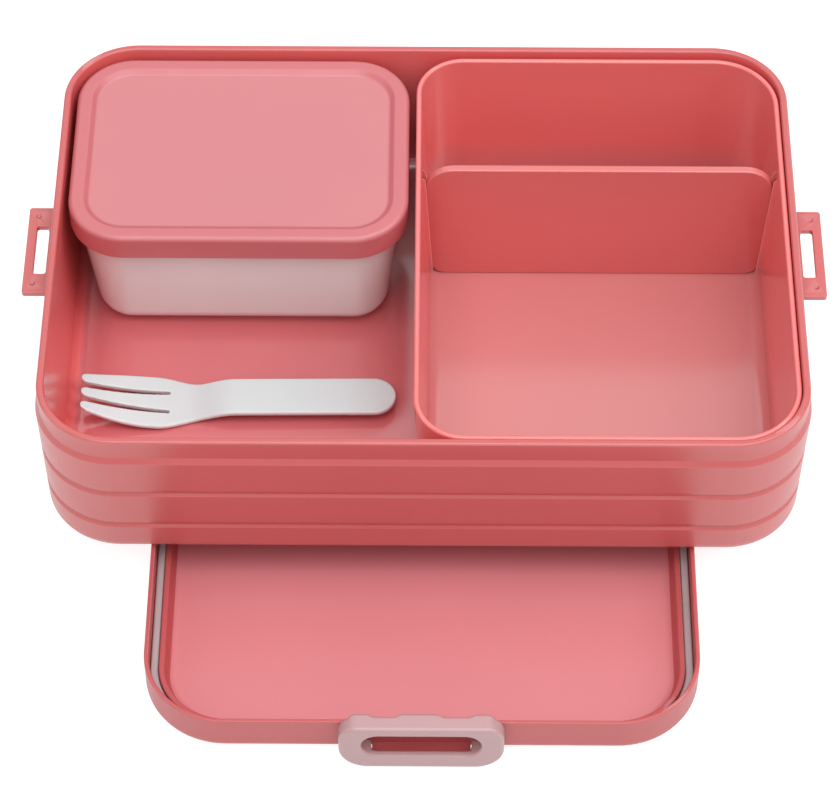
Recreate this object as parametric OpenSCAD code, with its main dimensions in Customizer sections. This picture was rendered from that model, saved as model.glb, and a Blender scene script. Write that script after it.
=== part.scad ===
// Bento lunch box, opened and laid out: the tub stands across its upturned lid.
// A tray with a divider, a small pot with its own lid and a fork sit in the tub.
// X runs along the tub, Y from front to back and Z up. The origin is the middle of the lid's
// outer face, which rests on the table.

/* [Tub] */
// Length of the tub across its shoulder
tub_length = 240.5; // [236:0.5:250]
// Width of the tub across its shoulder
tub_width = 170.5; // [168:0.5:178]
// Height of the tub without the lid
tub_height = 55.5; // [54:0.5:60]
// Corner radius of the tub, seen from above
tub_corner = 25; // [24:0.5:28]
// How far the tub's walls lean in from shoulder to underside
tub_draft = 1; // [0.8:0.1:1.8]
// Thickness of the tub's floor
floor_thickness = 2.2; // [1.8:0.1:2.4]
// Height of the collar that the lid slips over
collar_height = 7.8; // [7.2:0.1:8.4]
// Thickness of the collar
collar_wall = 2.4; // [2:0.1:2.4]
// Depth of the two grooves round the tub
groove_depth = 0.6; // [0.4:0.1:1]

/* [Latch ears] */
// Length of each ear along the tub's short side
ear_length = 36; // [32:0.2:36]
// How far each ear stands out from the tub
ear_reach = 7.6; // [7:0.1:8]
// Thickness of the ear's plate
ear_thickness = 2; // [1.6:0.1:2]
// Length of the slot through each ear
ear_slot = 20; // [16:1:20]

/* [Lid and clips] */
// Height of the lid
lid_height = 15; // [14.5:0.5:17]
// How far the tub stands behind the middle of the upturned lid
tub_back = 27.5; // [24:0.5:28]
// Width of each clip
clip_width = 50.4; // [48:0.2:52]
// Height of each clip
clip_height = 20.8; // [20.6:0.1:21.2]
// Length of the finger slot in each clip
clip_slot = 36.4; // [36.4:0.2:37]

/* [Tray] */
// Length of the tray along X
tray_length = 119.6; // [112:0.2:119.6]
// Thickness of the tray's walls
tray_wall = 1.8; // [1.5:0.1:2]
// Distance of the divider behind the tub's centre
divider_place = 30.3; // [0:0.1:36]
// Thickness of the divider
divider_thickness = 2.8; // [1.6:0.1:3]

/* [Pot and fork] */
// Length of the pot's lid along X
pot_length = 109.8; // [100:0.2:109.8]
// Width of the pot's lid along Y
pot_width = 80.3; // [70:0.1:80.4]
// Height of the pot with its lid on
pot_height = 51.6; // [44:0.2:52]
// Length of the fork
fork_length = 102; // [96:1:104]
// Thickness of the fork's head and tines
fork_thickness = 1.6; // [1.4:0.1:2]
// Thickness of the fork's handle
handle_thickness = 1.8; // [1.6:0.1:2.2]

/* [Hidden] */
$fn = 72;
eps = 0.01;
rest_gap = 0.05;

coral = [0.84, 0.38, 0.38];
pale_pink = [0.9, 0.72, 0.75];
milk_white = [0.93, 0.9, 0.9];
seal_grey = [0.6, 0.56, 0.55];

// Tub, measured from its own underside; offsets are taken from the shoulder's outline
tub_z = lid_height + rest_gap;
shoulder_z = tub_height - collar_height;
shoulder_step = 1;
shoulder_slope = 2;
tub_fillet = 5;
inner_offset = shoulder_step + collar_wall;
inner_fillet = 4;
rim_round = 0.8;
inner_x = tub_length / 2 - inner_offset;
inner_y = tub_width / 2 - inner_offset;
groove_zs = [13.7, 30.1];
groove_rise = 2.2;
groove_fall = 1.2;

// Ears, just below the lid's edge
ear_top = shoulder_z - 0.2;
ear_slot_width = 4;
ear_slot_out = 2.6;
ear_hole_r = 1;
ear_hole_depth = 1.2;
ear_hole_place = [4.4, 14.2];
rib_width = 1.5;
rib_depth = 2.5;
rib_reach = 1.1;

// Lid, w is measured from the edge of its skirt towards its outer face
skirt_out = 0.7;
skirt_in = -0.7;
lid_fillet = 4;
lid_panel = 2;
seal_seat = 11;
seal_face = collar_height + rest_gap;
seal_out = skirt_in - 0.1;
plug_out = -inner_offset - 0.1;
plug_edge = 7;
plug_in = -5.2;
well_fillet = 3;
well_out = plug_in - 1.2;

// Clip, measured from its hinge axis: t towards the latch end, n outwards
clip_back = 3.15;
clip_face = 2.6;
clip_gap = 1.05;
hinge_reach = skirt_out + clip_gap + clip_back;
hinge_w = 11.6;
clip_tail = 3.15;
clip_tip = clip_height - clip_tail;
clip_slot_near = 3.1;
clip_slot_far = 13.85;
clip_corner_low = 9;
clip_corner_high = 6;
barrel_r = 1.5;
barrel_half = 15.1;
barrel_play = 0.15;
stub_r = 0.8;
stub_play = 0.05;
stub_length = 2;
pad_depth = 1;
pad_height = 3;
pad_places = [-18.7, 0, 18.7];
pad_widths = [6.4, 15, 6.4];

// Tray, measured from its own underside
tray_z = floor_thickness + rest_gap;
tray_height = tub_height - tray_z - 0.9;
tray_floor = 1.2;
tray_fillet = 5;
tray_draft = 3;
tray_x1 = inner_x - 0.3;
tray_x0 = tray_x1 - tray_length;
tray_y0 = -inner_y + 0.4;
tray_y1 = inner_y - 2.2;
tray_left_corner = 16;
tray_right_corner = tub_corner - inner_offset - 0.6;
guide_play = 0.2;
guide_thickness = 1;
guide_reach = 1.2;
guide_drop = 3.5;
divider_corner = 9.5;
divider_foot = 5.5;
divider_play = 0.3;
divider_height = tray_height - tray_floor - 0.4;

// Pot, measured from its own underside
pot_x0 = -inner_x + 1.8;
pot_y1 = inner_y - 2.4;
pot_corner = 18.6;
pot_skirt = 9.5;
pot_lid_wall = 1.4;
pot_play = 0.2;
pot_wall = 1.5;
pot_rim_step = 1;
pot_draft = 5;
pot_fillet = 9;
panel_inset = 5.6;
panel_depth = 1.5;
panel_thickness = 1.4;
lid_plug_height = 3.4;
pot_rim_z = pot_height - panel_thickness - 0.2;

// Fork, lying lengthwise on the tub's floor with its tines towards -X
fork_x0 = -inner_x + 5.8;
fork_y = -28.2;
fork_turn = 1;
handle_width = 14.6;
head_width = 20.8;
head_length = 34;
tip_width = 14.5;
tip_gap = 2.4;
root_gap = 1.2;
tine_length = 28;
fork_rise = 7;
neck = 16;
handle_lift = 3.2;
handle_sag = 0.5;
keel_width = 4;
keel_ends = [58, 94];

// Points along a circular arc
function arc(cx, cy, r, a0, a1, n = 6) =
    [for (i = [0:n]) let (a = a0 + (a1 - a0) * i / n) [cx + r * cos(a), cy + r * sin(a)]];

function reversed(points) = [for (i = [len(points) - 1:-1:0]) points[i]];

// Side of a wall as a closed outline, from an axis at 0 to the contour pushed out by r
function half_section(contour, r, way = 1) = concat(
    [[0, contour[0][1]]],
    [for (p = contour) [way * (r + p[0]), p[1]]],
    [[0, contour[len(contour) - 1][1]]]);

// Solid block with rounded corners whose side follows a contour of [offset, z] points, from
// bottom to top. Offset 0 is the outline x0..x1, y0..y1, and rl and rr are its corner radii.
module contoured_block(x0, x1, y0, y1, rl, rr, contour) {
    translate([x0 + rl, 0, 0])
        rotate([90, 0, 90])
            linear_extrude(x1 - x0 - rl - rr)
                polygon(concat([for (p = contour) [y0 - p[0], p[1]]],
                               reversed([for (p = contour) [y1 + p[0], p[1]]])));
    for (side = [[x0 + rl, rl, -1], [x1 - rr, rr, 1]])
        translate([side[0], y1 - side[1], 0])
            rotate([90, 0, 0])
                linear_extrude(y1 - y0 - 2 * side[1])
                    polygon(half_section(contour, side[1], side[2]));
    for (corner = [[x1 - rr, y1 - rr, rr, 0], [x0 + rl, y1 - rl, rl, 90],
                   [x0 + rl, y0 + rl, rl, 180], [x1 - rr, y0 + rr, rr, 270]])
        translate([corner[0], corner[1], 0])
            rotate([0, 0, corner[3]])
                rotate_extrude(angle = 90)
                    polygon(half_section(contour, corner[2]));
}

module rounded_rectangle(length, width, r)
    union() {
        square([length - 2 * r, width], center = true);
        square([length, width - 2 * r], center = true);
        for (x = [-1, 1], y = [-1, 1])
            translate([x * (length / 2 - r), y * (width / 2 - r)]) circle(r);
    }

// Tub ------------------------------------------------------------------------------------

module tub_shape(contour)
    contoured_block(-tub_length / 2, tub_length / 2, -tub_width / 2, tub_width / 2,
                    tub_corner, tub_corner, contour);

function tub_side(z) = -tub_draft * (1 - z / shoulder_z);

function groove(z) = [
    [tub_side(z - groove_fall), z - groove_fall],
    [tub_side(z) - groove_depth, z],
    [tub_side(z + groove_rise), z + groove_rise]];

function tub_outside() = concat(
    arc(-tub_draft - tub_fillet, tub_fillet, tub_fillet, -90, 0, 6),
    groove(groove_zs[0]),
    groove(groove_zs[1]),
    [[0, shoulder_z - shoulder_slope], [-shoulder_step, shoulder_z]],
    arc(-shoulder_step - rim_round, tub_height - rim_round, rim_round, 0, 90, 3));

function tub_inside() = concat(
    arc(-inner_offset - tub_draft - inner_fillet, floor_thickness + inner_fillet, inner_fillet, -90, 0, 6),
    arc(-inner_offset + rim_round, tub_height - rim_round, rim_round, 180, 90, 3),
    [[-inner_offset + rim_round, tub_height + 1]]);

module ear_plate()
    difference() {
        translate([-tub_draft, -ear_length / 2]) square([tub_draft + ear_reach, ear_length]);
        translate([ear_slot_out - ear_slot_width / 2 + 0.6, 0])
            rounded_rectangle(ear_slot_width, ear_slot, 0.6);
    }

module ear()
    translate([tub_length / 2, 0, ear_top]) {
        difference() {
            translate([0, 0, -ear_thickness]) linear_extrude(ear_thickness) ear_plate();
            for (y = [-1, 1])
                translate([ear_hole_place[0], y * ear_hole_place[1], -ear_hole_depth])
                    cylinder(r = ear_hole_r, h = ear_hole_depth + 1, $fn = 32);
        }
        for (y = [-1, 1])
            translate([0, y * (ear_slot / 2 + rib_width / 2) + rib_width / 2, -ear_thickness])
                rotate([90, 0, 0])
                    linear_extrude(rib_width)
                        polygon([[-tub_draft, eps], [rib_reach, eps], [rib_reach, -0.6],
                                 [0, -rib_depth], [-tub_draft, -rib_depth]]);
    }

module tub()
    color(coral)
        translate([0, tub_back, tub_z])
            difference() {
                union() {
                    tub_shape(tub_outside());
                    for (side = [0, 180]) rotate([0, 0, side]) ear();
                }
                tub_shape(tub_inside());
            }

// Lid, seal and clips --------------------------------------------------------------------

// Turns a piece from the closed lid's position, with w pointing up, to the upturned lid
module upturned()
    translate([0, 0, lid_height])
        rotate([0, 0, 90])
            rotate([180, 0, 0])
                children();

// Hinge line of the clip at each end of the lid, with n along +X and t along -Z
module at_hinge(side)
    rotate([0, 0, side])
        translate([tub_length / 2 + hinge_reach, 0, hinge_w])
            children();

module lid_lug()
    difference() {
        union() {
            rotate([90, 0, 0]) cylinder(r = barrel_r, h = 2 * barrel_half, center = true, $fn = 48);
            translate([-hinge_reach - 0.6, -barrel_half, -1]) cube([hinge_reach + 0.6, 2 * barrel_half, 2]);
        }
        for (y = [-1, 1])
            translate([0, y * (barrel_half + 1), 0])
                rotate([y * 90, 0, 0])
                    cylinder(r = stub_r + stub_play, h = stub_length + 1.5, $fn = 48);
    }

module lid()
    color(coral)
        upturned() {
            difference() {
                tub_shape(concat(
                    [[skirt_out - 0.4, 0], [skirt_out, 0.4]],
                    arc(skirt_out - lid_fillet, lid_height - lid_fillet, lid_fillet, 0, 90, 6)));
                difference() {
                    tub_shape([[skirt_in + 0.4, -1], [skirt_in + 0.4, 0], [skirt_in, 0.4],
                               [skirt_in, seal_seat]]);
                    tub_shape([[plug_out - 0.3, plug_edge], [plug_out, plug_edge + 0.3],
                               [plug_out, lid_height]]);
                }
                tub_shape(concat(
                    [[plug_in + 0.3, plug_edge - 1], [plug_in + 0.3, plug_edge], [plug_in, plug_edge + 0.4]],
                    arc(well_out - well_fillet, lid_height - lid_panel - well_fillet, well_fillet,
                        0, 90, 5)));
            }
            for (side = [0, 180]) at_hinge(side) lid_lug();
        }

module lid_seal() {
    top = seal_seat - rest_gap;
    inner = plug_out + 0.1;
    lip = 0.5;
    color(seal_grey)
        upturned()
            difference() {
                tub_shape([[seal_out - lip, seal_face], [seal_out, seal_face + lip], [seal_out, top]]);
                tub_shape([[inner + lip, seal_face - 1], [inner + lip, seal_face],
                           [inner, seal_face + lip], [inner, top + 1]]);
            }
}

// Clip seen along its hinge: the tail is rounded so that it turns clear of the lid
module clip_side() {
    front_round = 1;
    polygon(concat(
        arc(0, 0, clip_tail, 180, 270, 8),
        arc(clip_tip - 0.6, -clip_back + 0.6, 0.6, 270, 360, 3),
        arc(clip_tip - front_round, clip_face - front_round, front_round, 0, 90, 4),
        arc(-clip_tail + front_round, clip_face - front_round, front_round, 90, 180, 4)));
}

module clip_shape() {
    slot_high = clip_slot_far - clip_slot_near;
    slot_mid = (clip_slot_far + clip_slot_near) / 2;
    pocket = barrel_r + barrel_play;
    bar_back = 0.4;
    difference() {
        intersection() {
            translate([0, clip_width / 2, 0])
                rotate([90, 90, 0])
                    linear_extrude(clip_width) clip_side();
            rotate([0, 90, 0])
                translate([0, 0, -clip_back - 1])
                    linear_extrude(clip_back + clip_face + 2)
                        clip_outline();
        }
        rotate([0, 90, 0])
            translate([slot_mid, 0, -clip_back - 1])
                linear_extrude(clip_back + clip_face + 2)
                    rounded_rectangle(slot_high, clip_slot, slot_high / 2 - eps);
        for (cut = [[pocket, pocket], [clip_slot_near + 1, bar_back]])
            translate([-clip_back - 1, -barrel_half - 0.3, -cut[0]])
                cube([clip_back + 1 + cut[1], 2 * barrel_half + 0.6, cut[0] + clip_tail + 1]);
    }
    for (y = [-1, 1])
        translate([0, y * (barrel_half + 0.4), 0])
            rotate([y * 90, 0, 0])
                cylinder(r = stub_r, h = stub_length + 0.1, $fn = 48);
    for (i = [0:len(pad_places) - 1])
        translate([-clip_back - pad_depth, pad_places[i] - pad_widths[i] / 2, -clip_tip + 0.6])
            cube([pad_depth + 1, pad_widths[i], pad_height]);
}

// Clip seen from the front, with t along +X and s along Y
module clip_outline()
    union() {
        translate([clip_corner_low - clip_tail, -clip_width / 2])
            square([clip_height - clip_corner_low - clip_corner_high, clip_width]);
        translate([-clip_tail, -clip_width / 2 + clip_corner_low])
            square([clip_height, clip_width - 2 * clip_corner_low]);
        for (y = [-1, 1]) {
            translate([clip_corner_low - clip_tail, y * (clip_width / 2 - clip_corner_low)])
                circle(clip_corner_low);
            translate([clip_tip - clip_corner_high, y * (clip_width / 2 - clip_corner_high)])
                circle(clip_corner_high);
        }
    }

module clip(side)
    color(pale_pink)
        upturned()
            at_hinge(side)
                clip_shape();

module clip_front() clip(180);
module clip_rear() clip(0);

// Tray and divider -----------------------------------------------------------------------

module tray_shape(contour)
    contoured_block(tray_x0, tray_x1, tray_y0, tray_y1, tray_left_corner, tray_right_corner, contour);

function tray_lean(z) = tray_draft * (1 - z / tray_height);

// Upright rail on a side wall, thickness along Y, standing in from the wall by guide_reach
module divider_guide(side, y) {
    face = side < 0 ? tray_x0 + tray_wall : tray_x1 - tray_wall;
    low = tray_floor - 0.5;
    high = tray_height - guide_drop;
    translate([face, y + guide_thickness / 2, 0])
        rotate([90, 0, 0])
            linear_extrude(guide_thickness)
                polygon([for (p = [[-0.8, low], [guide_reach, low],
                                   [guide_reach, high - 1], [-0.8, high + 1]])
                         [-side * (tray_lean(p[1]) + p[0]), p[1]]]);
}

module tray()
    color(coral)
        translate([0, tub_back, tub_z + tray_z]) {
            rim_r = tray_wall / 2;
            difference() {
                tray_shape(concat(
                    arc(-tray_draft - tray_fillet, tray_fillet, tray_fillet, -90, 0, 6),
                    arc(-rim_r, tray_height - rim_r, rim_r, 0, 90, 3)));
                tray_shape(concat(
                    arc(-tray_draft - tray_wall - 4, tray_floor + 4, 4, -90, 0, 6),
                    arc(-rim_r, tray_height - rim_r, rim_r, 180, 90, 3),
                    [[-rim_r, tray_height + 1]]));
            }
            guide_place = divider_thickness / 2 + guide_play + guide_thickness / 2;
            for (side = [-1, 1], way = [-1, 1])
                divider_guide(side, divider_place + way * guide_place);
        }

module divider() {
    low = tray_floor + rest_gap;
    top = low + divider_height;
    bend = top - divider_corner;
    reach_low = tray_length / 2 - tray_wall - tray_lean(low) - divider_play;
    reach_bend = tray_length / 2 - tray_wall - tray_lean(bend) - divider_play;
    half = concat(
        arc(reach_low - divider_foot, low + divider_foot, divider_foot, 270, 360, 6),
        arc(reach_bend - divider_corner, bend, divider_corner, 0, 90, 8));
    color(coral)
        translate([(tray_x0 + tray_x1) / 2, tub_back + divider_place + divider_thickness / 2, tub_z + tray_z])
            rotate([90, 0, 0])
                linear_extrude(divider_thickness)
                    polygon(concat(half, reversed([for (p = half) [-p[0], p[1]]])));
}

// Pot and its lid ------------------------------------------------------------------------

module pot_shape(contour)
    translate([0, tub_back, tub_z + floor_thickness + rest_gap])
        contoured_block(pot_x0, pot_x0 + pot_length, pot_y1 - pot_width, pot_y1,
                        pot_corner, pot_corner, contour);

module pot() {
    rim = -pot_lid_wall - pot_play;
    body = rim - pot_rim_step;
    neck_z = pot_rim_z - 6;
    inner_r = pot_fillet - 1;
    color(milk_white)
        difference() {
            pot_shape(concat(
                arc(body - pot_draft - pot_fillet, pot_fillet, pot_fillet, -90, 0, 8),
                [[body, neck_z], [rim, neck_z + 0.8], [rim, pot_rim_z - 0.5], [rim - 0.5, pot_rim_z]]));
            pot_shape(concat(
                arc(body - pot_draft - pot_wall - inner_r, pot_wall + inner_r, inner_r, -90, 0, 8),
                [[body - pot_wall, neck_z], [body - pot_wall, pot_rim_z + 1]]));
        }
}

module pot_lid() {
    plug = -pot_lid_wall - pot_play - pot_rim_step - pot_wall - pot_play;
    ceiling = pot_height - panel_thickness;
    panel_z = pot_height - panel_depth;
    under = panel_z - panel_thickness;
    color(coral)
        difference() {
            union() {
                difference() {
                    pot_shape(concat(
                        [[-0.4, pot_height - pot_skirt], [0, pot_height - pot_skirt + 0.4]],
                        arc(-1.8, pot_height - 1.8, 1.8, 0, 90, 5)));
                    pot_shape([[-pot_lid_wall, pot_height - pot_skirt - 1], [-pot_lid_wall, ceiling]]);
                }
                pot_shape([[plug - 0.5, under - lid_plug_height], [plug, under - lid_plug_height + 0.6],
                           [plug, ceiling + eps]]);
            }
            pot_shape([[plug - pot_lid_wall, under - lid_plug_height - 1], [plug - pot_lid_wall, under]]);
            pot_shape(concat(
                arc(-panel_inset - 2, panel_z + 1.2, 1.2, -90, -30, 3),
                [[-panel_inset, pot_height - 0.4], [-panel_inset + 0.6, pot_height],
                 [-panel_inset + 0.6, pot_height + 1]]));
        }
}

// Fork -----------------------------------------------------------------------------------

// Half the fork's width at a distance from the tips
function fork_half(x) =
    let (swell = x < 22 ? x / 22 : 1,
         fall = x < 24 ? 0 : min(1, (x - 24) / neck))
    (tip_width + (head_width - tip_width) * sin(90 * swell)) / 2
        - (head_width - handle_width) / 2 * (1 - cos(180 * fall)) / 2;

module fork_plan() {
    edge = [for (x = [0:2:40]) [x, fork_half(x)]];
    end = fork_length - handle_width / 2;
    pitch = (tip_width + tip_gap) / 3;
    lean = atan((head_width - tip_width) / 6 / tine_length);
    difference() {
        polygon(concat(edge, arc(end, 0, handle_width / 2, 90, -90, 16),
                       reversed([for (p = edge) [p[0], -p[1]]])));
        for (way = [-1, 1])
            translate([-1, way * pitch / 2])
                rotate([0, 0, way * lean])
                    polygon(concat(
                        [[0, tip_gap / 2]],
                        arc(tine_length, 0, root_gap / 2, 90, -90, 8),
                        [[0, -tip_gap / 2]]));
    }
}

// How far the neck has turned from the head into the handle, from 0 to 1
function fork_grown(x) =
    let (t = max(0, min(1, (x - head_length) / neck)))
    (1 - cos(180 * t)) / 2;

// Height of the fork's underside: the tips are raised, the head's heel lies on the floor and the
// handle is held up by the keel below it
function fork_bend(x) =
    x < head_length
        ? fork_rise * pow(1 - x / head_length, 2)
        : handle_lift * fork_grown(x) - handle_sag * pow((x - head_length) / (fork_length - head_length), 2);

function fork_depth(x) = fork_thickness + (handle_thickness - fork_thickness) * fork_grown(x);

module fork_profile() {
    steps = [for (x = [0:2:fork_length]) [x, fork_bend(x)]];
    polygon(concat(steps, reversed([for (p = steps) [p[0], p[1] + fork_depth(p[0])]])));
}

module fork_keel()
    translate([(keel_ends[0] + keel_ends[1]) / 2, 0, 0])
        linear_extrude(handle_lift + 0.5)
            rounded_rectangle(keel_ends[1] - keel_ends[0], keel_width, keel_width / 2 - eps);

module fork()
    color(milk_white)
        translate([fork_x0, tub_back + fork_y, tub_z + floor_thickness + rest_gap])
            rotate([0, 0, fork_turn]) {
                intersection() {
                    linear_extrude(fork_rise + fork_thickness) fork_plan();
                    translate([0, head_width, 0])
                        rotate([90, 0, 0])
                            linear_extrude(2 * head_width) fork_profile();
                }
                fork_keel();
            }

tub();
lid();
lid_seal();
clip_front();
clip_rear();
tray();
divider();
pot();
pot_lid();
fork();
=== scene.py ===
import math

import bmesh
import bpy
from mathutils import Matrix, Vector


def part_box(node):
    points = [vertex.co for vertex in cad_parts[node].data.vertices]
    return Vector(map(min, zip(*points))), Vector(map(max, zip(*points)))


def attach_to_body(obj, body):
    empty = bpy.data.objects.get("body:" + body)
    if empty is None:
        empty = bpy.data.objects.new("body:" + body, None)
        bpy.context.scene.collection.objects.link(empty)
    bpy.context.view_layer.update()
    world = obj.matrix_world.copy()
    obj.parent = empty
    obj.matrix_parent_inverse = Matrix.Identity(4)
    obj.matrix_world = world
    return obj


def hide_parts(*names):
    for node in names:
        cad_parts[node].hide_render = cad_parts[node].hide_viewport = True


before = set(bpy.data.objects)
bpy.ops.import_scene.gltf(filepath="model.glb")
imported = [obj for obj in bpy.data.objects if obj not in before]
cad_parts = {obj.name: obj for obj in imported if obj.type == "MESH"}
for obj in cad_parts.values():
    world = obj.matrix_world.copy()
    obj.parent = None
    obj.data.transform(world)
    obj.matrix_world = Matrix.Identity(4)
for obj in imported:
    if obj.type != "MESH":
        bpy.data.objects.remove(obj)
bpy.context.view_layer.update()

# Lengths below are in millimetres. Meshes are scaled to metres when they are made.
MM = 0.001
CORNER_STEPS = 20  # mesh steps round a quarter circle seen from above
FILLET_STEP = math.radians(13)  # largest turn between two rows of a fillet


def box_mm(node):
    low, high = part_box(node)
    return low / MM, high / MM


# ---------------------------------------------------------------- sections and outlines

def rounded(points, closed=False):
    """A section from (offset, z, radius) corners: each corner becomes a fillet of its radius."""
    count = len(points)
    out = []
    for i, (x, z, r) in enumerate(points):
        if r <= 0 or (not closed and i in (0, count - 1)):
            out.append((x, z))
            continue
        here = Vector((x, z))
        before = Vector(points[i - 1][:2]) - here
        after = Vector(points[(i + 1) % count][:2]) - here
        room = min(side.length * 0.98 * r / (r + points[j % count][2])
                   for side, j in ((before, i - 1), (after, i + 1)))
        before.normalize()
        after.normalize()
        turn = math.pi - before.angle(after)
        if turn < 0.02:
            out.append((x, z))
            continue
        cut = min(r * math.tan(turn / 2), room)
        radius = cut / math.tan(turn / 2)
        centre = here + (before + after).normalized() * (radius / math.cos(turn / 2))
        first = here + before * cut - centre
        steps = max(2, math.ceil(turn / FILLET_STEP))
        last = here + after * cut - centre
        way = 1 if first.cross(last) > 0 else -1
        for k in range(steps + 1):
            a = way * turn * k / steps
            p = centre + Vector((first.x * math.cos(a) - first.y * math.sin(a),
                                 first.x * math.sin(a) + first.y * math.cos(a)))
            out.append((p.x, p.y))
    return out


class Outline:
    """A rounded rectangle seen from above, with one corner radius at each end of X."""

    def __init__(self, x0, x1, y0, y1, r_left, r_right=None):
        r_right = r_left if r_right is None else r_right
        self.corners = [(x1 - r_right, y1 - r_right, r_right, 0), (x0 + r_left, y1 - r_left, r_left, 90),
                        (x0 + r_left, y0 + r_left, r_left, 180), (x1 - r_right, y0 + r_right, r_right, 270)]

    def loop(self, offset):
        """Points of the outline pushed out by offset, anticlockwise."""
        points = []
        for cx, cy, r, start in self.corners:
            for k in range(CORNER_STEPS + 1):
                a = math.radians(start + 90 * k / CORNER_STEPS)
                points.append((cx + (r + offset) * math.cos(a), cy + (r + offset) * math.sin(a)))
        return points


# ---------------------------------------------------------------- mesh building

def new_object(name, verts, faces, materials, face_materials=None):
    mesh = bpy.data.meshes.new(name)
    mesh.from_pydata([Vector(v) * MM for v in verts], [], faces)
    for m in materials:
        mesh.materials.append(m)
    if face_materials:
        mesh.polygons.foreach_set("material_index", face_materials)
    mesh.validate()
    bm = bmesh.new()
    bm.from_mesh(mesh)
    bmesh.ops.remove_doubles(bm, verts=bm.verts, dist=1e-7)
    bmesh.ops.recalc_face_normals(bm, faces=bm.faces)
    bm.to_mesh(mesh)
    bm.free()
    mesh.polygons.foreach_set("use_smooth", [True] * len(mesh.polygons))
    obj = bpy.data.objects.new(name, mesh)
    bpy.context.scene.collection.objects.link(obj)
    return obj


def sweep(name, outline, section, materials, closed=False, paint=lambda offset, z: 0):
    """Carries a section round an outline. An open section is capped flat at both ends. The paint
    function picks the material from the place in the section."""
    verts, faces, face_materials = [], [], []
    for offset, z in section:
        verts += [(x, y, z) for x, y in outline.loop(offset)]
    n = len(verts) // len(section)
    rows = len(section)
    for i in range(rows if closed else rows - 1):
        j = (i + 1) % rows
        shade = paint((section[i][0] + section[j][0]) / 2, (section[i][1] + section[j][1]) / 2)
        for k in range(n):
            m = (k + 1) % n
            faces.append((i * n + k, i * n + m, j * n + m, j * n + k))
            face_materials.append(shade)
    if not closed:
        faces.append(tuple(reversed(range(n))))
        faces.append(tuple(range((rows - 1) * n, rows * n)))
        face_materials += [paint(*section[0]), paint(*section[-1])]
    return new_object(name, verts, faces, materials, face_materials)


def apply_modifiers(obj):
    graph = bpy.context.evaluated_depsgraph_get()
    mesh = bpy.data.meshes.new_from_object(obj.evaluated_get(graph))
    obj.modifiers.clear()
    old = obj.data
    obj.data = mesh
    mesh.name = obj.name
    bpy.data.meshes.remove(old)


def combine(obj, tools, operation="UNION"):
    """Joins or cuts obj with each tool by an exact boolean and removes the tools."""
    for tool in tools:
        cut = obj.modifiers.new("combine", "BOOLEAN")
        cut.operation = operation
        cut.solver = "EXACT"
        cut.object = tool
    apply_modifiers(obj)
    for tool in tools:
        bpy.data.objects.remove(tool)


def attach(obj, shells):
    """Adds closed shells to obj's mesh, in its first material, each running a little way into it."""
    bm = bmesh.new()
    bm.from_mesh(obj.data)
    for shell in shells:
        bm.from_mesh(shell.data)
        bpy.data.objects.remove(shell)
    bm.to_mesh(obj.data)
    bm.free()


def even_normals(obj):
    """Keeps flat faces flat and fillets smooth in the shading."""
    obj.data.polygons.foreach_set("use_smooth", [True] * len(obj.data.polygons))
    weighted = obj.modifiers.new("even_normals", "WEIGHTED_NORMAL")
    weighted.weight = 100
    weighted.keep_sharp = False


def extruded(name, loops, depth, bevel, material, place):
    """A flat plate from closed loops, the first its edge and the rest its holes, with rounded edges."""
    curve = bpy.data.curves.new(name, "CURVE")
    curve.dimensions = "2D"
    curve.fill_mode = "BOTH"
    curve.extrude = (depth / 2 - bevel) * MM
    curve.bevel_depth = bevel * MM
    curve.bevel_resolution = 3
    curve.offset = -bevel * MM
    for loop in loops:
        spline = curve.splines.new("POLY")
        spline.points.add(len(loop) - 1)
        for point, (x, y) in zip(spline.points, loop):
            point.co = (x * MM, y * MM, 0, 1)
        spline.use_cyclic_u = True
    flat = bpy.data.objects.new(name + "_outline", curve)
    bpy.context.scene.collection.objects.link(flat)
    graph = bpy.context.evaluated_depsgraph_get()
    mesh = bpy.data.meshes.new_from_object(flat.evaluated_get(graph))
    mesh.name = name
    bpy.data.objects.remove(flat)
    bm = bmesh.new()
    bm.from_mesh(mesh)
    bmesh.ops.remove_doubles(bm, verts=bm.verts, dist=2e-6)
    bmesh.ops.recalc_face_normals(bm, faces=bm.faces)
    bm.transform(place)
    bm.to_mesh(mesh)
    bm.free()
    mesh.materials.clear()
    mesh.materials.append(material)
    obj = bpy.data.objects.new(name, mesh)
    bpy.context.scene.collection.objects.link(obj)
    return obj


def rounded_loop(cx, cy, length, width, r, steps=8):
    """A closed rounded rectangle as a list of points."""
    points = []
    for sx, sy, start in ((1, 1, 0), (-1, 1, 90), (-1, -1, 180), (1, -1, 270)):
        for k in range(steps + 1):
            a = math.radians(start + 90 * k / steps)
            points.append((cx + sx * (length / 2 - r) + r * math.cos(a),
                           cy + sy * (width / 2 - r) + r * math.sin(a)))
    return points


def turned(name, axis_start, profile, material, steps=40):
    """A body of revolution about the X direction from (x, radius) points, closed on itself."""
    verts, faces = [], []
    n = len(profile)
    for i in range(steps):
        a = 2 * math.pi * i / steps
        verts += [(axis_start[0] + x, axis_start[1] + r * math.cos(a), axis_start[2] + r * math.sin(a))
                  for x, r in profile]
    for i in range(steps):
        j = (i + 1) % steps
        for k in range(n):
            m = (k + 1) % n
            faces.append((i * n + k, i * n + m, j * n + m, j * n + k))
    return new_object(name, verts, faces, [material])


# ---------------------------------------------------------------- materials

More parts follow.
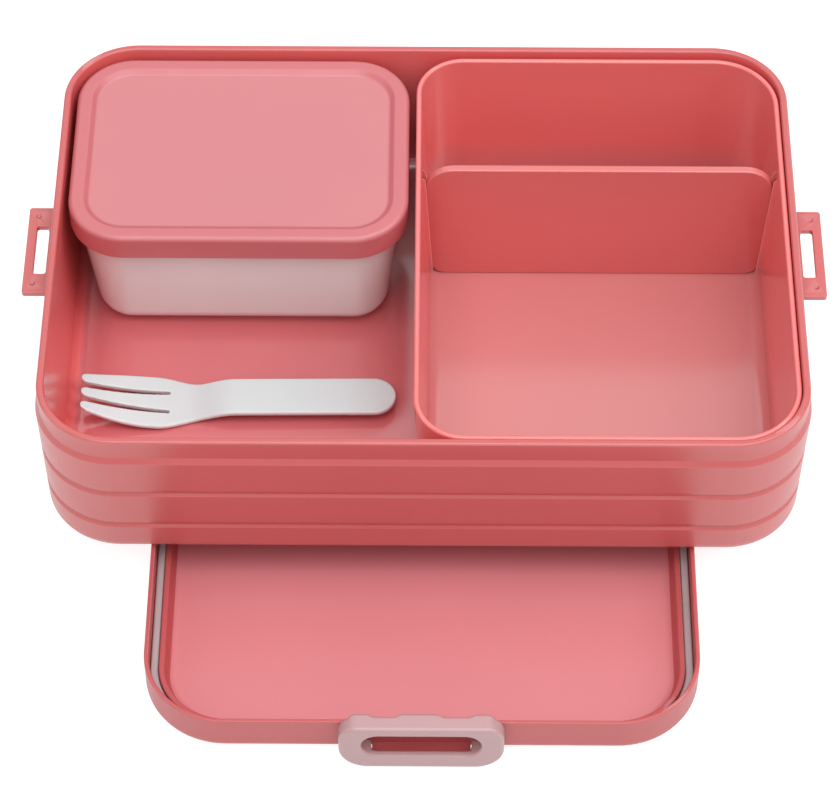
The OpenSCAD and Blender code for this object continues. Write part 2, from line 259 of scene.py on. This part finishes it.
class Nodes:
    """Short way to write a material's node tree."""

    def __init__(self, name):
        self.material = bpy.data.materials.new(name)
        self.material.use_nodes = True
        self.tree = self.material.node_tree
        self.shader = self.tree.nodes["Principled BSDF"]
        self.place = self.add("ShaderNodeTexCoord").outputs["Object"]

    def add(self, kind, **inputs):
        node = self.tree.nodes.new(kind)
        for key, value in inputs.items():
            self.feed(node.inputs[key.replace("_", " ")], value)
        return node

    def feed(self, socket, value):
        if hasattr(value, "links"):
            self.tree.links.new(value, socket)
        else:
            socket.default_value = value

    def noise(self, scale, detail=2.0, stretch=None):
        where = self.place
        if stretch:
            mapping = self.add("ShaderNodeMapping", Vector=where)
            mapping.inputs["Scale"].default_value = stretch
            where = mapping.outputs["Vector"]
        return self.add("ShaderNodeTexNoise", Vector=where, Scale=scale, Detail=detail).outputs["Fac"]

    def ramp(self, value, low, high, at=(0.3, 0.7)):
        ramp = self.add("ShaderNodeValToRGB", Fac=value)
        for element, place, colour in zip(ramp.color_ramp.elements, at, (low, high)):
            element.position = place
            element.color = (*colour, 1) if len(colour) == 3 else colour
        return ramp.outputs["Color"]

    def mix(self, share, colour, other):
        node = self.add("ShaderNodeMix")
        node.data_type = "RGBA"
        self.feed(node.inputs[0], share)
        self.feed(node.inputs[6], colour)
        node.inputs[7].default_value = (*other, 1)
        return node.outputs[2]

    def spread(self, value, low, high, at=(0.0, 1.0)):
        node = self.add("ShaderNodeMapRange", Value=value)
        for key, number in zip(("From Min", "From Max", "To Min", "To Max"), (*at, low, high)):
            node.inputs[key].default_value = number
        return node.outputs["Result"]


def moulded(name, colour, roughness, grain=0.25, spread=0.02, edge_highlight=0.3, density=1.5, low=None):
    """Injection-moulded plastic: an even tint that drifts slightly, fine surface grain, a painted highlight
    on sharp edges and a gloss that varies with handling. The low tint, if given, is a painted sheen:
    a paler colour and the two heights between which it fades out."""
    n = Nodes(name)
    shade = lambda k: tuple(min(1.0, c * k) for c in colour)
    drift = n.ramp(n.noise(14, 3), shade(1 - spread), shade(1 + spread))
    # Painted sheen: below the given heights the colour fades to the paler low tint, standing in for the
    # sheen that lower surfaces catch.
    if low:
        height = n.add("ShaderNodeSeparateXYZ", Vector=n.place).outputs["Z"]
        drift = n.mix(n.spread(height, 1, 0, at=low[1:]), drift, low[0])
    # Painted highlight: sharp, pointed edges are mixed towards a paler colour to stand in for the light
    # that rims catch.
    edges = n.spread(n.add("ShaderNodeNewGeometry").outputs["Pointiness"], 0, edge_highlight, at=(0.505, 0.56))
    pale = tuple(c + (1 - c) * 0.35 for c in colour)
    n.feed(n.shader.inputs["Base Color"], n.mix(edges, drift, pale))

    haze = n.spread(n.noise(240, 4), roughness * 0.94, roughness * 1.07, at=(0.3, 0.7))
    rubs = n.spread(n.noise(700, 3, stretch=(0.05, 1, 1)), 0, 0.012, at=(0.55, 0.8))
    total = n.add("ShaderNodeMath")
    total.operation = "ADD"
    n.feed(total.inputs[0], haze)
    n.feed(total.inputs[1], rubs)
    n.feed(n.shader.inputs["Roughness"], total.outputs[0])

    skin = n.add("ShaderNodeBump", Height=n.noise(1100, 3), Strength=grain, Distance=0.00004)
    n.feed(n.shader.inputs["Normal"], skin.outputs["Normal"])
    n.shader.inputs["Specular IOR Level"].default_value = 1.0
    n.shader.inputs["IOR"].default_value = density
    return n.material


# The tub is one plastic in three lit and shaded copies: the inner walls carry painted light, brighter than
# the outer walls, and the floor is painted paler as a painted sheen.
coral_outer = moulded("coral_outer", (0.56, 0.080, 0.080), 0.32)
coral_inner_painted_light = moulded("coral_inner_painted_light", (0.84, 0.150, 0.148), 0.24, grain=0.05)
coral_floor_painted_sheen = moulded("coral_polished_floor_painted_sheen", (0.67, 0.165, 0.18), 0.14, grain=0.04, edge_highlight=0, density=1.6)
# The tray is painted paler low down: a painted sheen on its floor and the foot of its walls.
coral_tray_painted_low_sheen = moulded("coral_tray_painted_low_sheen", (0.82, 0.175, 0.168), 0.19, grain=0.05,
                     low=((0.62, 0.205, 0.207), 0.019, 0.034))
coral_divider = moulded("coral_divider", (0.66, 0.115, 0.108), 0.24, grain=0.05)
# The lid's inside panel is painted paler than its skirt: a painted sheen, the same plastic in a lit copy.
coral_satin = moulded("coral_satin", (0.51, 0.076, 0.080), 0.44, grain=0.3, density=1.42)
coral_panel_painted_sheen = moulded("coral_lid_panel_painted_sheen", (0.67, 0.205, 0.225), 0.42, grain=0.2)
# The pot lid's recessed panel is painted paler than its ring: a painted sheen on the same plastic.
coral_cover = moulded("coral_pot_lid", (0.56, 0.125, 0.140), 0.42, grain=0.2)
coral_recess_painted_sheen = moulded("coral_pot_lid_panel_painted_sheen", (0.58, 0.175, 0.190), 0.42, grain=0.2)
pink_clip = moulded("pale_pink_clip", (0.47, 0.275, 0.285), 0.36, grain=0.2, edge_highlight=0.05)
milk = moulded("milky_pot", (0.75, 0.85, 0.85), 0.18, grain=0.04, edge_highlight=0.1)
white = moulded("white_fork", (0.66, 0.77, 0.78), 0.42, grain=0.3, edge_highlight=0.1)
silicone = moulded("grey_silicone", (0.50, 0.43, 0.44), 0.5, grain=0.6, spread=0.04, edge_highlight=0)


# ---------------------------------------------------------------- tub

tub_low, tub_high = box_mm("tub")
lid_low, lid_high = box_mm("lid")
EAR_REACH = 7.6
TUB_LENGTH = tub_high.x - tub_low.x - 2 * EAR_REACH
TUB_WIDTH = tub_high.y - tub_low.y
TUB_HEIGHT = tub_high.z - tub_low.z
TUB_Y = (tub_low.y + tub_high.y) / 2
TUB_R = 25
TUB_DRAFT = 1
COLLAR = 7.8
COLLAR_STEP = 1
TUB_WALL = 2.4
FLOOR = 2.2
SHOULDER = TUB_HEIGHT - COLLAR
INNER = COLLAR_STEP + TUB_WALL
GROOVE_HEIGHTS = (13.7, 30.1)
GROOVE_DEPTH, GROOVE_FALL, GROOVE_RISE = 0.6, 1.2, 2.2


def lifted(section, z):
    return [(x, h + z) for x, h in section]


def make_tub():
    side = lambda z: -TUB_DRAFT * (1 - z / SHOULDER)
    grooves = [corner for z in GROOVE_HEIGHTS for corner in (
        (side(z - GROOVE_FALL), z - GROOVE_FALL, 0.4), (side(z) - GROOVE_DEPTH, z, 0.25),
        (side(z + GROOVE_RISE), z + GROOVE_RISE, 0.6))]
    inside = -INNER - TUB_DRAFT
    section = rounded(
        [(-18, 0.5, 0), (-9, 0.5, 0.5), (-8, 0, 0.4), (-TUB_DRAFT, 0, 5)] + grooves
        + [(0, SHOULDER - 2, 0.5), (-COLLAR_STEP, SHOULDER, 0.3),
           (-COLLAR_STEP, TUB_HEIGHT, 0.8), (-INNER, TUB_HEIGHT, 0.8),
           (inside, FLOOR, 4.5), (inside - 8, FLOOR, 0), (inside - 9, FLOOR, 0)])
    outline = Outline(-TUB_LENGTH / 2, TUB_LENGTH / 2, TUB_Y - TUB_WIDTH / 2, TUB_Y + TUB_WIDTH / 2, TUB_R)

    # Picks the lit and shaded copies of the tub's colour: outer faces and rim the outer one, inner walls
    # the painted-light one, the floor the painted-sheen one.
    def paint(offset, z):
        if z < tub_low.z + FLOOR - 0.1 or z > tub_high.z - 0.6 or offset > 0.1 - INNER:
            return 0
        return 1 if z > tub_low.z + FLOOR + 0.3 else 2

    tub = sweep("tub_moulding", outline, lifted(section, tub_low.z),
                [coral_outer, coral_inner_painted_light, coral_floor_painted_sheen], paint=paint)
    for way in (-1, 1):
        attach(tub, make_ear(way))
    even_normals(tub)
    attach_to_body(tub, "tub_body")
    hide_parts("tub")


def make_ear(way):
    """The plate with its slot and two blind holes, and two short ribs below it."""
    thick, length = 2.0, 36
    top = tub_low.z + SHOULDER - 0.2
    root = TUB_LENGTH / 2
    edge = rounded_loop(root + (EAR_REACH - TUB_DRAFT) / 2, 0, EAR_REACH + TUB_DRAFT, length, 0.9)
    slot = rounded_loop(root + 2.6, 0, 4, 20, 0.8)
    plate = extruded("ear", [edge, slot[::-1]], thick, 0.3, coral_outer,
                     Matrix.Translation(Vector((0, TUB_Y, top - thick / 2)) * MM))
    rib = [(root - 2.5, -0.3), (root - 2.5, -4.4), (root - 0.2, -4.4), (root + 1.1, -2.4),
           (root + 1.1, -0.3)]
    ribs = [extruded("rib", [rib], 1.5, 0.2, coral_outer,
                     Matrix.Translation(Vector((0, TUB_Y + y, top - 1)) * MM)
                     @ Matrix.Rotation(math.pi / 2, 4, "X"))
            for y in (-10.75, 10.75)]
    holes = []
    for y in (-14.2, 14.2):
        hole = turned("hole", (0, 0, 0), [(0, 0.001), (0, 1.0), (3, 1.0), (3, 0.001)], coral_outer)
        hole.data.transform(Matrix.Translation(Vector((root + 4.4, TUB_Y + y, top - 1.2)) * MM)
                            @ Matrix.Rotation(-math.pi / 2, 4, "Y"))
        holes.append(hole)
    combine(plate, holes, "DIFFERENCE")
    parts = [plate] + ribs
    if way < 0:
        for part in parts:
            part.data.transform(Matrix.Diagonal((-1, 1, 1, 1)))
            part.data.flip_normals()
    return parts


# ---------------------------------------------------------------- lid, seal and clips

LID_HEIGHT = lid_high.z - lid_low.z
SKIRT_OUT = (lid_high.x - lid_low.x - TUB_WIDTH) / 2
LID_OUTLINE = Outline(-TUB_WIDTH / 2, TUB_WIDTH / 2, -TUB_LENGTH / 2, TUB_LENGTH / 2, TUB_R)
HINGE_W = 11.6
HINGE_Y = TUB_LENGTH / 2 + SKIRT_OUT + 1.05 + 3.15
ROD_R = 1.5
ROD_HALF = 15.1


def flipped(section):
    """A section measured from the skirt's edge towards the lid's outer face, as it lies upturned."""
    return [(x, LID_HEIGHT - w) for x, w in section]


def make_lid():
    """The section runs from the outer face round the skirt, the seal's groove and its rib to the well."""
    face, groove, rib, well = 15, 11, 7, 13
    section = rounded([
        (-25, face, 0), (-24, face, 0), (SKIRT_OUT, face, 4), (SKIRT_OUT, 0, 0.5), (-0.7, 0, 0.4),
        (-0.7, groove, 0.3), (-3.5, groove, 0.3), (-3.5, rib, 0.4), (-5.2, rib, 0.5),
        (-6.4, well, 3), (-24, well, 0), (-25, well, 0)])
    # The inside panel takes the paler copy with the painted sheen; the rest of the lid takes the satin
    # colour.
    lid = sweep("lid_moulding", LID_OUTLINE, flipped(section), [coral_satin, coral_panel_painted_sheen],
                paint=lambda offset, z: int(offset < -6.6 and z > 1.5))
    lugs = []
    for way in (-1, 1):
        web = rounded_loop(0, way * (HINGE_Y - 2.3), 2 * ROD_HALF, 5.4, 0.3)
        lugs.append(extruded("web", [web], 2, 0.3, coral_satin,
                             Matrix.Translation((0, 0, (LID_HEIGHT - HINGE_W) * MM))))
    bore = 0.85
    rim = [(ROD_HALF, ROD_R - 0.2), (ROD_HALF - 0.2, ROD_R)]
    inner = [(ROD_HALF - 2.4, 0.001), (ROD_HALF - 2.4, bore), (ROD_HALF, bore)]
    profile = inner + rim + [(-x, r) for x, r in reversed(inner + rim)]
    for way in (-1, 1):
        lugs.append(turned("rod", (0, way * HINGE_Y, LID_HEIGHT - HINGE_W), profile, coral_satin))
    attach(lid, lugs)
    even_normals(lid)
    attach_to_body(lid, "lid_body")
    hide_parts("lid")


def make_seal():
    near, far, top, bottom = -0.85, -3.35, 7.9, 10.9
    section = rounded([(near, top, 0.7), (far, top, 0.7), (far, bottom, 0.3), (near, bottom, 0.3)],
                      closed=True)
    seal = sweep("seal_ring", LID_OUTLINE, flipped(section), [silicone], closed=True)
    even_normals(seal)
    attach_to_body(seal, "lid_body")
    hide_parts("lid_seal")


def stadium(t0, t1, half, r_low, r_high, steps=18, straight=40):
    """Closed loop in (s, t) with its own corner radii at the low and high t ends."""
    points = []

    def run(a, b, n):
        points.extend((a[0] + (b[0] - a[0]) * k / n, a[1] + (b[1] - a[1]) * k / n) for k in range(n))

    def bend(cs, ct, r, a0):
        points.extend((cs + r * math.cos(math.radians(a0 + 90 * k / steps)),
                       ct + r * math.sin(math.radians(a0 + 90 * k / steps))) for k in range(steps))

    run((-half + r_low, t0), (half - r_low, t0), straight)
    bend(half - r_low, t0 + r_low, r_low, -90)
    run((half, t0 + r_low), (half, t1 - r_high), 6)
    bend(half - r_high, t1 - r_high, r_high, 0)
    run((half - r_high, t1), (-half + r_high, t1), straight)
    bend(-half + r_high, t1 - r_high, r_high, 90)
    run((-half, t1 - r_high), (-half, t0 + r_low), 6)
    bend(-half + r_low, t0 + r_low, r_low, 180)
    return points


CLIP_TAIL, CLIP_TIP, CLIP_HALF = 3.15, 17.65, 25.2
SLOT_NEAR, SLOT_FAR, SLOT_HALF = 3.1, 13.85, 18.2
CLIP_BACK, CLIP_FACE = 3.15, 2.6
PADS = ((-18.7, 4.0), (0.6, 7.3), (18.7, 4.0))


def make_clip(name, node, body, way):
    """A ring swept between its outer edge and its finger slot. The back of the hinge bar is hollow
    where it holds the rod, and three pads stand out behind the free bar."""
    outer_bend, slot_bend, front_bend = 1.6, 0.9, 1.3
    lip_depth, skin_depth = 0.4, 1.65  # the least depth of the bar's back where it is hollow

    def ring(inset_outer, inset_slot, share):
        a = stadium(-CLIP_TAIL + inset_outer, CLIP_TIP - inset_outer, CLIP_HALF - inset_outer,
                    9 - inset_outer, 6 - inset_outer)
        b = stadium(SLOT_NEAR - inset_slot, SLOT_FAR + inset_slot, SLOT_HALF + inset_slot,
                    5.3 + inset_slot, 5.3 + inset_slot)
        return [(p[0] + (q[0] - p[0]) * share, p[1] + (q[1] - p[1]) * share) for p, q in zip(a, b)]

    steps = 5
    quarter = [math.pi / 2 * k / steps for k in range(steps + 1)]
    rows = []  # from the back round the outer edge, the face and the slot to the back again
    for a in quarter:
        rows.append((ring(outer_bend * (1 - math.sin(a)), 0, 0),
                     -CLIP_BACK + outer_bend * (1 - math.cos(a)), "back"))
    for a in quarter:
        rows.append((ring(front_bend * (1 - math.cos(a)), 0, 0),
                     CLIP_FACE - front_bend * (1 - math.sin(a)), "front"))
    for a in quarter:
        rows.append((ring(0, slot_bend * (1 - math.sin(a)), 1),
                     CLIP_FACE - slot_bend * (1 - math.cos(a)), "front"))
    rows.append((ring(0, 0, 1), 0.9, "lip"))
    rows.append((ring(0, 0, 1), 0.4, "lip"))
    rows.append((ring(0, 0, 1), -CLIP_BACK + 0.5, "slot_back"))
    rows.append((ring(0, 0.5, 1), -CLIP_BACK, "slot_back"))
    rows.append((ring(outer_bend, 0.5, 0.8), -CLIP_BACK, "lip_back"))
    rows.append((ring(outer_bend, 0.5, 0.78), -CLIP_BACK, "skin_back"))

    verts, faces = [], []
    n = len(rows[0][0])
    for loop, depth, kind in rows:
        for s, t in loop:
            d = depth
            if t < SLOT_NEAR + 0.6 and abs(s) < ROD_HALF + 0.3:
                if kind in ("slot_back", "lip_back"):
                    d = max(d, lip_depth)
                if kind in ("skin_back", "back"):
                    d = max(d, skin_depth)
            if kind in ("back", "skin_back", "lip_back", "slot_back") and t > SLOT_FAR - 0.1:
                rise = max(pad_rise(s, centre, half) for centre, half in PADS)
                d -= rise * (0.35 if kind == "slot_back" else 1.0)
            verts.append((way * s, way * (HINGE_Y + d), LID_HEIGHT - HINGE_W + t))
    count = len(rows)
    for i in range(count):
        j = (i + 1) % count
        for k in range(n):
            m = (k + 1) % n
            faces.append((i * n + k, i * n + m, j * n + m, j * n + k))
    clip = new_object(name, verts, faces, [pink_clip])
    stub_r, stub_length, stub_reach = 0.8, 3.0, 2.0
    profile = [(0, 0.001), (0, stub_r), (stub_length, stub_r), (stub_length, 0.001)]
    stubs = [turned("stub", (x, way * HINGE_Y, LID_HEIGHT - HINGE_W), profile, pink_clip, 24)
             for x in (-ROD_HALF - (stub_length - stub_reach), ROD_HALF - stub_reach)]
    combine(clip, stubs)
    even_normals(clip)
    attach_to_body(clip, body)
    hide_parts(node)


def pad_rise(s, centre, half):
    """Height of a hook pad at a place along the bar: flat in the middle with soft ends."""
    edge = 1.6
    away = abs(s - centre) - (half - edge)
    if away <= 0:
        return 1.0
    return 0.0 if away >= edge else (1 + math.cos(math.pi * away / edge)) / 2


# ---------------------------------------------------------------- tray and divider

tray_low, tray_high = box_mm("tray")
divider_low, divider_high = box_mm("divider")
TRAY_WALL = 1.8
TRAY_DRAFT = 3


def make_tray():
    height = tray_high.z - tray_low.z
    draft = TRAY_DRAFT
    outline = Outline(tray_low.x, tray_high.x, tray_low.y, tray_high.y, 16, TUB_R - INNER - 0.6)
    inside = -TRAY_WALL - draft
    section = rounded([
        (-14, 0.4, 0), (-11, 0.4, 0.4), (-10.2, 0, 0.3), (-draft, 0, 5),
        (0, height, 0.85), (-TRAY_WALL, height, 0.85),
        (inside, 1.2, 4), (inside - 7, 1.2, 0), (inside - 8, 1.2, 0)])
    tray = sweep("tray_moulding", outline, lifted(section, tray_low.z), [coral_tray_painted_low_sheen])
    guides = []
    middle = (divider_low.y + divider_high.y) / 2
    half = (divider_high.y - divider_low.y) / 2 + 0.2 + 0.5
    low, high = 0.7, height - 3.5
    lean = lambda z: draft * (1 - z / height)
    for way, wall in ((1, tray_low.x + TRAY_WALL), (-1, tray_high.x - TRAY_WALL)):
        for y in (middle - half, middle + half):
            loop = [(wall + way * (lean(z) + x), z) for x, z in
                    ((-0.8, low), (1.2, low), (1.2, high - 1), (-0.8, high + 1))]
            guides.append(extruded("guide", [loop[::-way]], 1.0, 0.25, coral_tray_painted_low_sheen,
                                   Matrix.Translation(Vector((0, y, tray_low.z)) * MM)
                                   @ Matrix.Rotation(math.pi / 2, 4, "X")))
    attach(tray, guides)
    even_normals(tray)
    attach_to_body(tray, "tray_body")
    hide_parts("tray")


def make_divider():
    height = tray_high.z - tray_low.z
    lean = lambda z: TRAY_DRAFT * (1 - (z - tray_low.z) / height)
    middle = (divider_low.x + divider_high.x) / 2
    low, high, bend = divider_low.z, divider_high.z, 9.5
    reach = lambda z: (divider_high.x - divider_low.x) / 2 + lean(high - bend) - lean(z)
    half = rounded([(0, low, 0), (reach(low), low, 5.5), (reach(high - bend), high, bend), (0, high, 0)])
    loop = [(middle + x, z) for x, z in half] + [(middle - x, z) for x, z in reversed(half[1:-1])]
    thick = divider_high.y - divider_low.y
    divider = extruded("divider_plate", [loop], thick, 0.6, coral_divider,
                       Matrix.Translation(Vector((0, (divider_low.y + divider_high.y) / 2, 0)) * MM)
                       @ Matrix.Rotation(math.pi / 2, 4, "X"))
    even_normals(divider)
    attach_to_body(divider, "divider_plate")
    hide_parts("divider")


# ---------------------------------------------------------------- pot and its lid

cover_low, cover_high = box_mm("pot_lid")
pot_low, pot_high = box_mm("pot")
POT_OUTLINE = Outline(cover_low.x, cover_high.x, cover_low.y, cover_high.y, 18.6)
COVER_WALL, POT_PLAY, POT_WALL, POT_STEP = 1.4, 0.2, 1.5, 1.0


def make_pot():
    height = pot_high.z - pot_low.z
    rim = -COVER_WALL - POT_PLAY
    body = rim - POT_STEP
    foot = body - 5
    section = rounded([
        (foot - 9.9, 0.4, 0), (foot - 9.5, 0.4, 0.2), (foot - 9.1, 0, 0.2), (foot, 0, 9),
        (body, height - 6, 0.5), (rim, height - 5.2, 0.3), (rim, height, 0.5),
        (body - POT_WALL, height, 0.5), (body - POT_WALL, height - 6, 0), (foot - POT_WALL, POT_WALL, 8),
        (foot - 9.6, POT_WALL, 0), (foot - 9.9, POT_WALL, 0)])
    pot = sweep("pot_moulding", POT_OUTLINE, lifted(section, pot_low.z), [milk])
    even_normals(pot)
    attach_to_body(pot, "pot_body")
    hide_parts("pot")


def make_pot_lid():
    top = cover_high.z
    skirt = cover_low.z
    plug = -COVER_WALL - POT_PLAY - POT_STEP - POT_WALL - POT_PLAY
    panel = top - 1.5
    under = panel - 1.4
    section = rounded([
        (-17, under, 0), (-15, under, 0), (plug - 1.4, under, 0.6), (plug - 1.4, under - 3.4, 0.4),
        (plug, under - 3.4, 0.4), (plug, top - 1.4, 0.3), (-COVER_WALL, top - 1.4, 0.3),
        (-COVER_WALL, skirt, 0.4), (0, skirt, 0.5), (0, top, 1.9), (-4.8, top, 1.4), (-6.8, panel, 1.8),
        (-15, panel, 0), (-17, panel, 0)])
    # The recessed panel takes the paler copy with the painted sheen.
    cover = sweep("pot_lid_moulding", POT_OUTLINE, section, [coral_cover, coral_recess_painted_sheen],
                  paint=lambda offset, z: int(offset < -6.4 and z > under + 0.7))
    even_normals(cover)
    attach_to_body(cover, "pot_cover")
    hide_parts("pot_lid")


# ---------------------------------------------------------------- fork

fork_low, fork_high = box_mm("fork")


def make_fork():
    """Lofted from rounded cross-sections, the gaps cut out and the tines rounded, then remeshed so
    that every edge is soft."""
    turn = math.radians(1)
    length = (fork_high.x - fork_low.x) / math.cos(turn)
    handle, head, tips = 14.6, 20.8, 14.5
    rise, head_length, neck, tine = 7, 34, 16, 28
    tip_gap, root_gap = 2.4, 1.2
    thin, thick = 1.7, 1.9
    lift, sag = 3.2, 0.5
    head_middle = 23
    start = Vector((fork_low.x, (fork_low.y + fork_high.y) / 2 - head_middle * math.sin(turn), fork_low.z))
    place = Matrix.Translation(start * MM) @ Matrix.Rotation(turn, 4, "Z")

    def half(x):
        swell = math.sin(math.pi / 2 * min(1, x / 22))
        fall = (1 - math.cos(math.pi * min(1, max(0, (x - 24) / neck)))) / 2
        end = length - handle / 2
        if x > end:
            return math.sqrt(max(0.0, (handle / 2) ** 2 - (x - end) ** 2)) + 0.02
        return (tips + (head - tips) * swell - (head - handle) * fall) / 2

    def grown(x):
        return (1 - math.cos(math.pi * max(0, min(1, (x - head_length) / neck)))) / 2

    def bend(x):
        if x < head_length:
            return rise * (1 - x / head_length) ** 2
        return lift * grown(x) - sag * ((x - head_length) / (length - head_length)) ** 2

    def depth(x):
        return thin + (thick - thin) * grown(x)

    def section(w, t):
        edge = min(0.8, w * 0.4)
        top = rounded([(-w, t * 0.5, 0), (-w, t, edge), (w, t, edge), (w, t * 0.5, 0)])
        bottom = rounded([(w, t * 0.5, 0), (w, 0, edge), (-w, 0, edge), (-w, t * 0.5, 0)])
        return top[:-1] + bottom[:-1]

    places = [length * k / 170 for k in range(170)] + [length - 0.25, length - 0.05]
    verts, faces = [], []
    for x in places:
        verts += [(x, across, bend(x) + up) for across, up in section(half(x), depth(x))]
    n = len(verts) // len(places)
    for i in range(len(places) - 1):
        for k in range(n):
            m = (k + 1) % n
            faces.append((i * n + k, i * n + m, (i + 1) * n + m, (i + 1) * n + k))
    faces.append(tuple(reversed(range(n))))
    faces.append(tuple(range((len(places) - 1) * n, len(places) * n)))
    fork = new_object("fork_moulding", verts, faces, [white])

    pitch = (tips + tip_gap) / 3
    tine_r = (tips - 2 * tip_gap) / 6
    lean = math.atan((head - tips) / 6 / tine)

    def arc(cx, cy, r, a0, a1, steps=12):
        angles = [math.radians(a0 + (a1 - a0) * k / steps) for k in range(steps + 1)]
        return [(cx + r * math.cos(a), cy + r * math.sin(a)) for a in angles]

    cutters = []
    for way in (-1, 1):
        slot = [(-1, tip_gap / 2)] + arc(tine, 0, root_gap / 2, 90, -90) + [(-1, -tip_gap / 2)]
        cutters.append(extruded("gap", [slot[::-1]], 30, 0, white,
                                Matrix.Translation((0, way * pitch * MM / 2, 0))
                                @ Matrix.Rotation(way * lean, 4, "Z")))
    ends = [(-3, -head), (tine_r, -head)]
    for centre in (-pitch, 0, pitch):
        ends += arc(tine_r, centre, tine_r, -90, -270)
    ends += [(tine_r, head), (-3, head)]
    cutters.append(extruded("tine_ends", [ends], 30, 0, white, Matrix.Identity(4)))
    combine(fork, cutters, "DIFFERENCE")
    attach(fork, [extruded("keel", [rounded_loop(76, 0, 36, 4, 1.9)], lift + 0.4, 0.4, white,
                           Matrix.Translation((0, 0, (lift + 0.4) / 2 * MM)))])
    fork.data.transform(place)
    remesh = fork.modifiers.new("remesh", "REMESH")
    remesh.mode = "VOXEL"
    remesh.voxel_size = 0.25 * MM
    smooth = fork.modifiers.new("smooth", "SMOOTH")
    smooth.factor = 0.5
    smooth.iterations = 4
    apply_modifiers(fork)
    fork.data.polygons.foreach_set("use_smooth", [True] * len(fork.data.polygons))
    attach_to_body(fork, "fork_body")
    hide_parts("fork")


make_tub()
make_lid()
make_seal()
make_clip("clip_front_ring", "clip_front", "front_clip", -1)
make_clip("clip_rear_ring", "clip_rear", "rear_clip", 1)
make_tray()
make_divider()
make_pot()
make_pot_lid()
make_fork()


# ---------------------------------------------------------------- floor, light and camera

def make_floor():
    """White paper just under the object, clear when seen from below: one triangle, so it has no seam."""
    reach, drop = 10.0, -0.0003
    mesh = bpy.data.meshes.new("studio_floor")
    corners = [(-2 * reach, -reach, drop), (2 * reach, -reach, drop), (0, 3 * reach, drop)]
    mesh.from_pydata(corners, [], [(0, 1, 2)])
    floor = bpy.data.objects.new("studio_floor", mesh)
    bpy.context.scene.collection.objects.link(floor)
    n = Nodes("studio_paper")
    n.feed(n.shader.inputs["Base Color"], n.ramp(n.noise(3), (0.44, 0.44, 0.44), (0.46, 0.46, 0.46)))
    n.shader.inputs["Emission Color"].default_value = (1, 1, 1, 1)
    rays = n.add("ShaderNodeLightPath").outputs
    seen = n.add("ShaderNodeMath")
    seen.operation = "MAXIMUM"
    n.feed(seen.inputs[0], rays["Is Camera Ray"])
    n.feed(seen.inputs[1], rays["Is Glossy Ray"])
    n.feed(n.shader.inputs["Emission Strength"], n.spread(seen.outputs[0], 0.42, 0.8))
    n.shader.inputs["Roughness"].default_value = 0.9
    n.shader.inputs["Specular IOR Level"].default_value = 0.1
    sides = n.add("ShaderNodeMixShader")
    n.feed(sides.inputs[0], n.add("ShaderNodeNewGeometry").outputs["Backfacing"])
    n.feed(sides.inputs[1], n.shader.outputs[0])
    n.feed(sides.inputs[2], n.add("ShaderNodeBsdfTransparent").outputs[0])
    n.feed(n.tree.nodes["Material Output"].inputs["Surface"], sides.outputs[0])
    mesh.materials.append(n.material)


def softbox(name, place, target, size, radiance):
    """A square area light of the given brightness, facing its target."""
    light = bpy.data.lights.new(name, "AREA")
    light.shape = "RECTANGLE"
    light.size, light.size_y = size
    light.energy = radiance * math.pi * size[0] * size[1]
    lamp = bpy.data.objects.new(name, light)
    lamp.location = place
    lamp.rotation_euler = (Vector(target) - Vector(place)).to_track_quat("-Z", "Y").to_euler()
    bpy.context.scene.collection.objects.link(lamp)


make_floor()
MIDDLE = (0, 0, 0.03)
softbox("backdrop", (0.0, 1.1, 1.4), MIDDLE, (2.4, 1.6), 0.9)
softbox("key_above", (0.15, -0.45, 1.5), MIDDLE, (1.6, 1.2), 2.75)
softbox("fill_front", (0.0, -1.5, 1.0), MIDDLE, (1.6, 1.0), 1.2)
softbox("side_left", (-1.3, -0.1, 0.9), MIDDLE, (0.8, 0.8), 1.6)
softbox("side_right", (1.2, -0.1, 1.1), MIDDLE, (0.8, 0.8), 3.2)

world = bpy.data.worlds.new("studio")
world.use_nodes = True
background = world.node_tree.nodes["Background"]
background.inputs["Color"].default_value = (1, 1, 1, 1)
seen = world.node_tree.nodes.new("ShaderNodeMapRange")  # white to the camera, dim as a light
seen.inputs["To Min"].default_value = 0.3
world.node_tree.links.new(world.node_tree.nodes.new("ShaderNodeLightPath").outputs["Is Camera Ray"],
                          seen.inputs["Value"])
world.node_tree.links.new(seen.outputs["Result"], background.inputs["Strength"])
scene = bpy.context.scene
scene.world = world
scene.view_settings.view_transform = "Standard"

ELEVATION = math.radians(51.48)
HEADING = math.radians(-0.387)
DISTANCE = 1.0996
AIM = Vector((-1.27, TUB_Y - 22.95, lid_high.z)) * MM
camera = bpy.data.objects.new("camera", bpy.data.cameras.new("camera"))
camera.data.lens = 143.98
camera.data.sensor_width = 36
look = Vector((math.sin(HEADING) * math.cos(ELEVATION), math.cos(HEADING) * math.cos(ELEVATION),
               -math.sin(ELEVATION)))
camera.location = AIM - look * DISTANCE
camera.rotation_euler = look.to_track_quat("-Z", "Y").to_euler()
scene.collection.objects.link(camera)
scene.camera = camera
